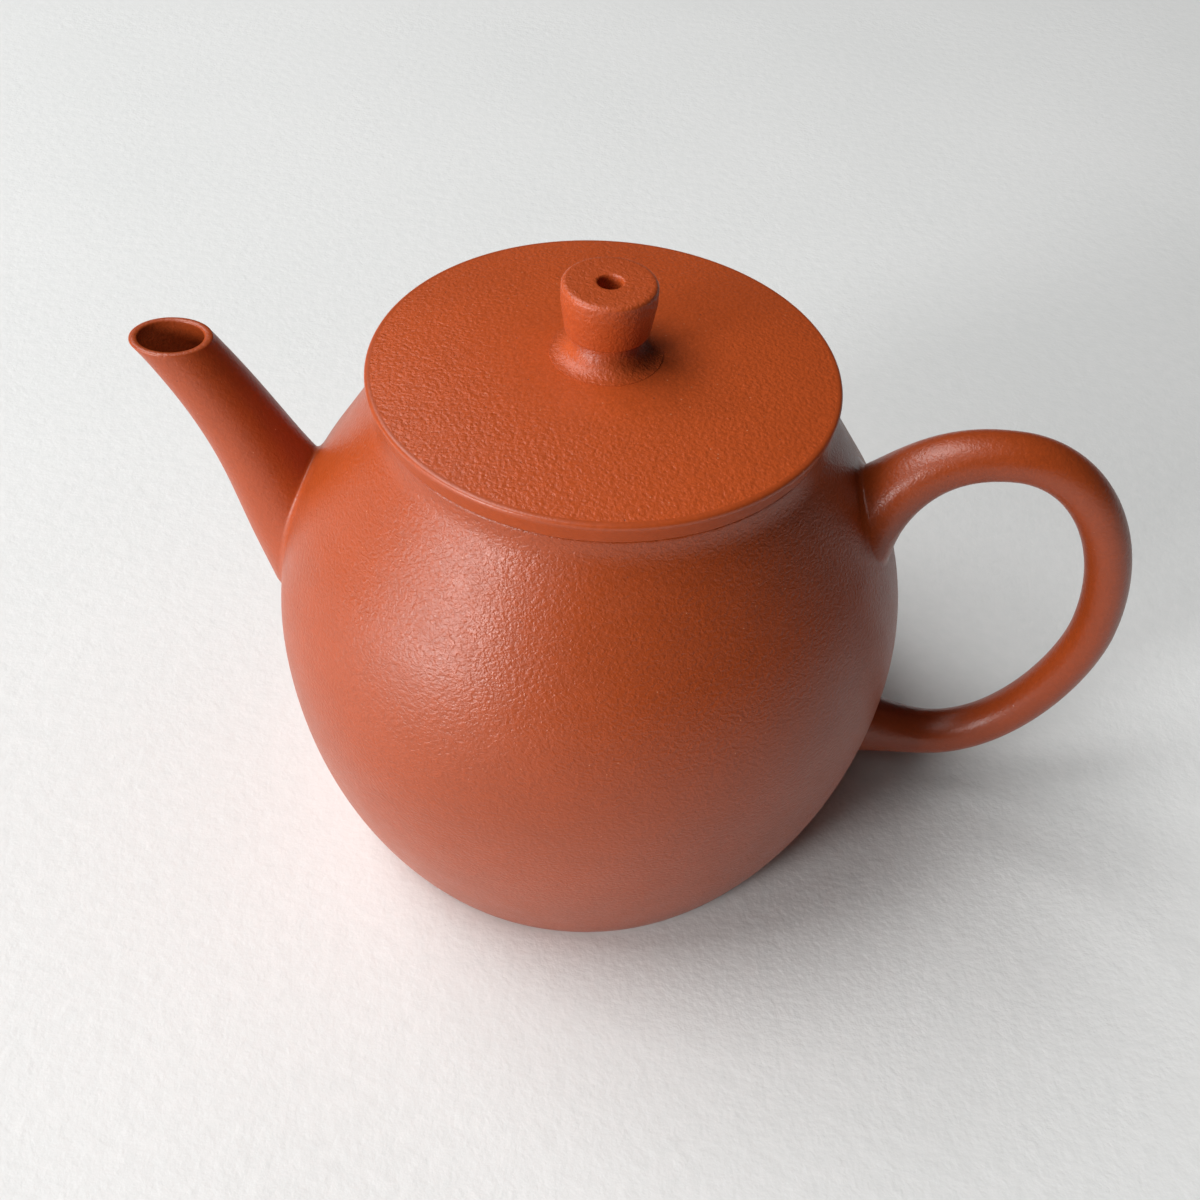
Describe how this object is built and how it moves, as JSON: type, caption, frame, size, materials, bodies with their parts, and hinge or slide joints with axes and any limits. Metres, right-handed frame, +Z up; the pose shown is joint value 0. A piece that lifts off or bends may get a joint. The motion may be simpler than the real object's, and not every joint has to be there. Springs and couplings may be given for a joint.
{
  "type": "yixing clay teapot",
  "caption": "Small unglazed clay teapot with a rounded body, a slim curved spout, a round loop handle and a flat lift-off lid with a drum-shaped knob.",
  "frame": {"origin": "centre of the flat foot, on the body's axis, at the height of the table", "axes": "+Z up, +X towards the handle, -X towards the spout, +Y to the left of someone who looks along +X"},
  "size_m": [0.1074, 0.07, 0.0694],
  "materials": {
    "zisha_clay": "unglazed stoneware, fine wrinkled skin with a soft satin sheen"
  },
  "bodies": {
    "pot": {"body_wall": "zisha_clay", "base_disc": "zisha_clay", "shoulder_disc": "zisha_clay", "neck_ring": "zisha_clay", "spout": "zisha_clay", "strainer": "zisha_clay", "handle": "zisha_clay"},
    "lid": {"lid_plate": "zisha_clay", "lid_flange": "zisha_clay", "knob": "zisha_clay"}
  },
  "joints": [
    {"name": "lid_lift", "type": "slide", "parent": "pot", "child": "lid", "axis": [0, 0, 1], "range_m": [0, 0.06]}
  ]
}
